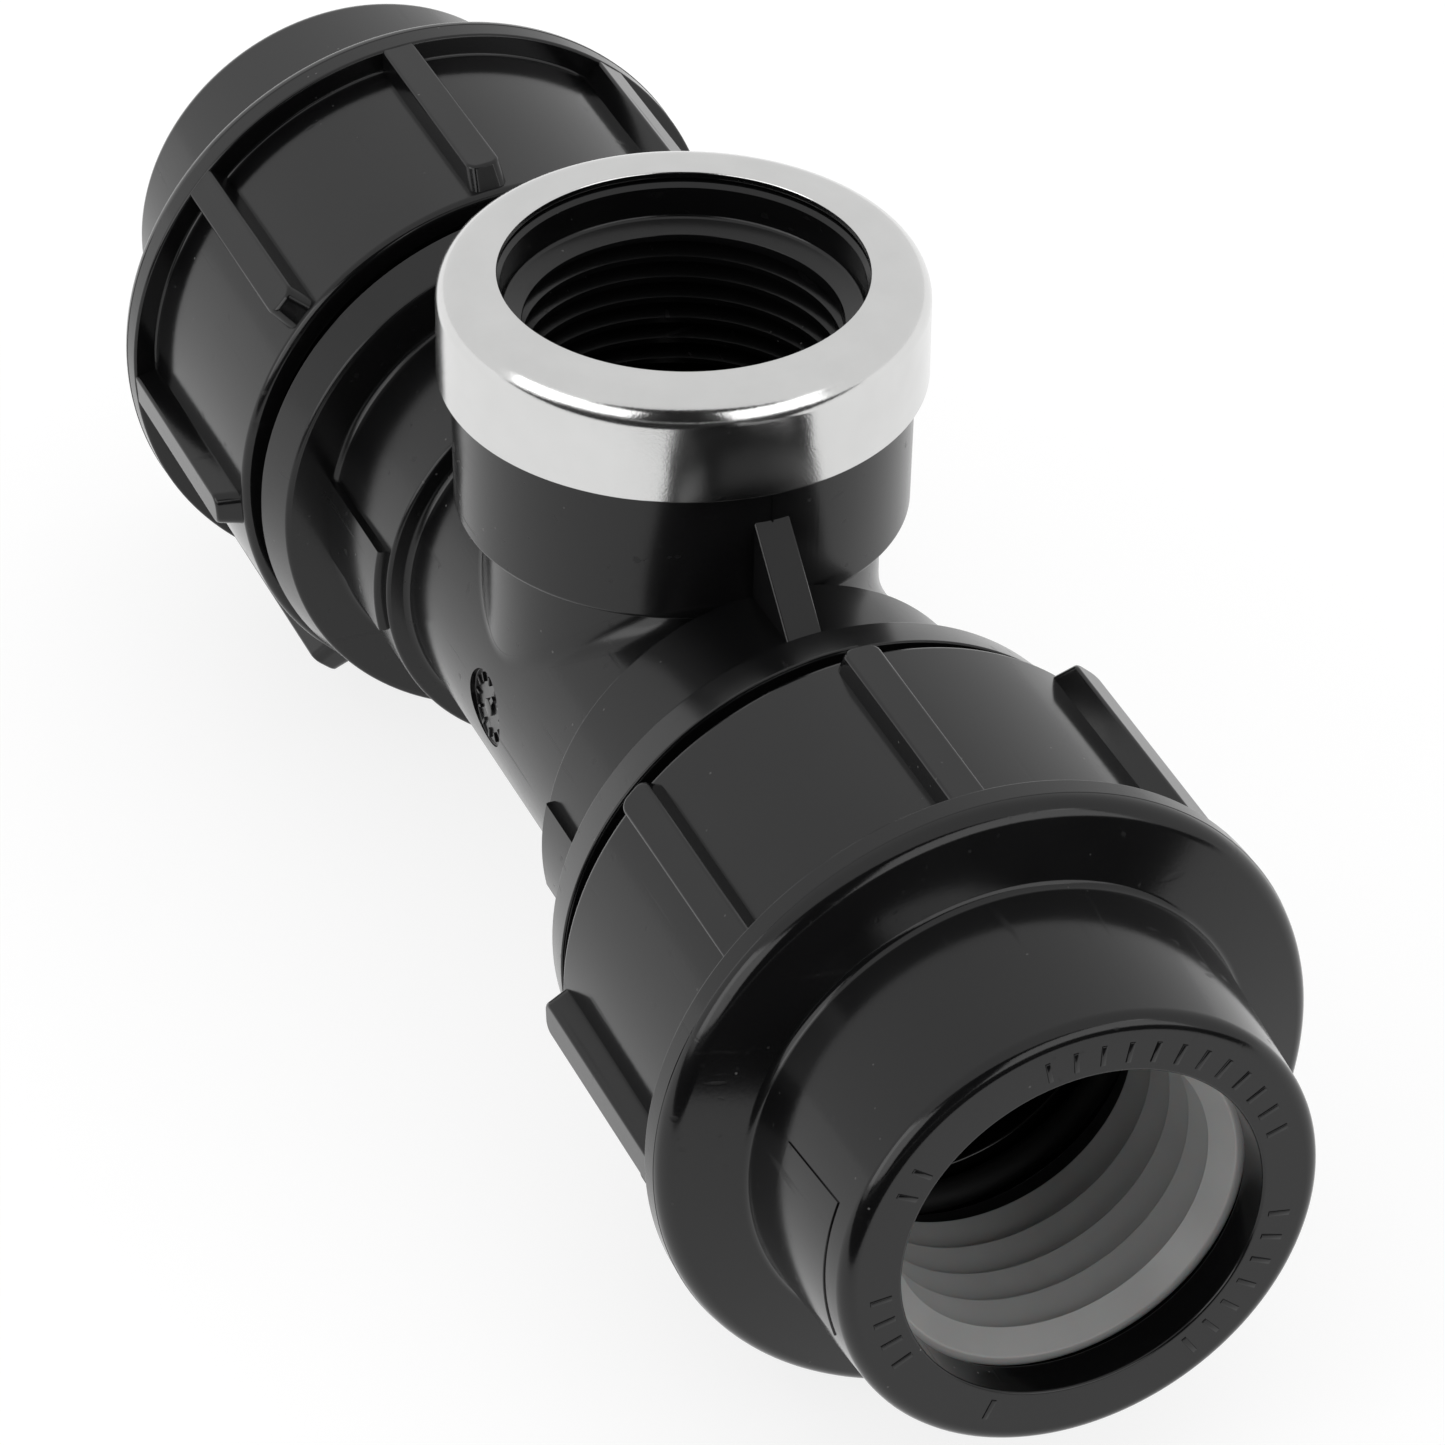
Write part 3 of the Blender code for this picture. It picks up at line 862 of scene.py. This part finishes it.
# %% Polish the stainless steel
def stainless():
    finish = Finish("stainless_steel_pressed", Metallic=1.0)
    cloud = finish.noise(240.0, 3.0)
    pits = finish.noise(5200.0, 2.0, rough=0.6)
    round_lines = finish.noise(1400.0, 2.0, finish.stretched((0.15, 0.15, 1.0)))
    nick = finish.specks(900.0, 0.10) * finish.noise(160.0).over(0.58, 0.64)
    finish.feed("Base Color", finish.blend(cloud, (0.63, 0.63, 0.625, 1), (0.70, 0.70, 0.695, 1)))
    finish.feed("Roughness", 0.08 + 0.04 * cloud + 0.1 * pits + 0.1 * nick)
    skin = finish.bump(pits, 0.000007)
    lines = finish.bump(round_lines, 0.0000016, skin)
    finish.feed("Normal", finish.bump(nick * -1.0, 0.000006, lines))
    return finish.material


ring_steel = stainless()

# %% [markdown]
# ## Acetal, grey polypropylene and rubber
#
# The clinch ring is natural acetal, a milky plastic that lets a little light through. The thrust ring is a
# plain dark grey plastic, and the seal is nitrile rubber, matt black with a bloom.

# %% Mix the plastics and the rubber inside
def soft_plastic(name, dark, light, roughness, **constants):
    finish = Finish(name, **constants)
    cloud = finish.noise(160.0, 3.0)
    grain = finish.noise(2400.0, 2.0)
    finish.feed("Base Color", finish.blend(cloud, (*dark, 1), (*light, 1)))
    finish.feed("Roughness", roughness + 0.1 * cloud + 0.05 * grain)
    finish.feed("Normal", finish.bump(grain, 0.000004, finish.bump(cloud, 0.00003)))
    return finish.material


natural_acetal = soft_plastic(
    "natural_acetal_milky", (0.28, 0.28, 0.277), (0.34, 0.34, 0.337), 0.3,
    IOR=1.48, Subsurface_Weight=0.25, Subsurface_Scale=0.002)
grey_plastic = soft_plastic("grey_polypropylene_satin", (0.018, 0.018, 0.019), (0.026, 0.026, 0.027), 0.38)
black_rubber = soft_plastic("nitrile_rubber_bloom", (0.012, 0.012, 0.012), (0.02, 0.02, 0.02), 0.6)

# %% Give each piece its finish, its body and its node
def dress(piece, material, body_name, node):
    piece.data.materials.clear()
    piece.data.materials.append(material)
    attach(piece, body_name)
    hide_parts(node)


dress(body, body_black, "tee", "tee_body")
dress(steel, ring_steel, "tee", "reinforcing_ring")
for side in ("right", "left"):
    dress(nuts[side], nut_black, f"coupling_{side}", f"nut_{side}")
    dress(clinch[side], natural_acetal, f"inserts_{side}", f"clinch_ring_{side}")
    dress(thrusts[side], grey_plastic, f"inserts_{side}", f"thrust_ring_{side}")
    dress(seals[side], black_rubber, "tee", f"o_ring_{side}")

# %% [markdown]
# ## The studio
#
# A black, glossy object is seen mostly by what it reflects. The studio is a white room with a white floor and
# two soft boxes beside the camera. A dark cloth hangs behind the camera and another lies before the tee. The
# camera sees neither, and the tee reflects both.

# %% Lay the floor and the two dark cloths
def stage_plane(name, size, material):
    deselect_all()
    bpy.ops.mesh.primitive_plane_add(size=1)
    plane = bpy.context.object
    plane.name = name
    plane.scale = (*size, 1)
    settle(plane)
    plane.data.materials.append(material)
    return plane


def stage_material(name, colour, glow=0.0):
    finish = Finish(name, Roughness=0.9, Specular_IOR_Level=0.1)
    finish.surface.inputs["Base Color"].default_value = (*colour, 1)
    finish.surface.inputs["Emission Color"].default_value = (1, 1, 1, 1)
    finish.surface.inputs["Emission Strength"].default_value = glow
    return finish.material


floor = stage_plane("floor", (12, 12), stage_material("white_floor", (0.25, 0.25, 0.25), 0.8))
FLOOR_Z, CLOTH_T = -0.0322, 0.0004
floor.location.z = FLOOR_Z

AZIMUTH, ELEVATION, ROLL = math.radians(67.48), math.radians(34.95), math.radians(0.53)


def around(azimuth, elevation, distance):
    """A point round the tee; azimuth 0 stands in front of it, at -Y, and 90 at the end of +X."""
    flat = math.cos(elevation) * distance
    return Vector((math.sin(azimuth) * flat, -math.cos(azimuth) * flat, math.sin(elevation) * distance))


def aim(thing, azimuth, elevation, distance):
    thing.location = around(azimuth, elevation, distance)
    thing.rotation_euler = (-thing.location).to_track_quat("-Z", "Y").to_euler()


black_cloth = stage_material("black_cloth", (0.01, 0.01, 0.01))
hanging = stage_plane("hanging_cloth", (7.0, 2.2), black_cloth)
aim(hanging, AZIMUTH + math.radians(3), math.radians(20), 2.1)
lying = stage_plane("lying_cloth", (3.0, 1.2), black_cloth)
lying.location = around(AZIMUTH, 0, 0.75)
lying.location.z = FLOOR_Z + CLOTH_T
lying.rotation_euler.z = AZIMUTH
hanging.visible_camera = False
lying.visible_camera = lying.visible_diffuse = lying.visible_shadow = False

# %% Set the soft boxes
def soft_box(name, azimuth, elevation, distance, size, radiance):
    lamp = bpy.data.lights.new(name, "AREA")
    lamp.shape = "RECTANGLE"
    lamp.size, lamp.size_y = size
    lamp.energy = radiance * math.pi * size[0] * size[1]
    made = bpy.data.objects.new(name, lamp)
    bpy.context.scene.collection.objects.link(made)
    aim(made, AZIMUTH + math.radians(azimuth), math.radians(elevation), distance)
    return made


soft_box("soft_box_left", -50, 20, 1.8, (1.9, 1.0), 1.9)
soft_box("soft_box_right", 42, 18, 1.8, (1.4, 1.1), 1.9)
world = bpy.data.worlds.new("white_room")
bpy.context.scene.world = world
world.use_nodes = True
world.node_tree.nodes["Background"].inputs["Color"].default_value = (1, 1, 1, 1)
world.node_tree.nodes["Background"].inputs["Strength"].default_value = 0.88
bpy.context.scene.view_settings.view_transform = "Standard"

# %% Place the camera
lens = bpy.data.cameras.new("camera")
lens.lens = 194.6
camera = bpy.data.objects.new("camera", lens)
bpy.context.scene.collection.objects.link(camera)
bpy.context.scene.camera = camera
back = around(AZIMUTH, ELEVATION, 1.0)
right = Vector((0, 0, 1)).cross(back).normalized()
up = back.cross(right)
facing = Matrix((right, up, back)).transposed() @ Matrix.Rotation(ROLL, 3, "Z")
facing = facing @ Matrix.Rotation(math.radians(-0.31), 3, "Y") @ Matrix.Rotation(math.radians(-0.423), 3, "X")
camera.matrix_world = Matrix.Translation(back * 0.7581) @ facing.to_4x4()
print("camera at", [round(c, 3) for c in camera.location])
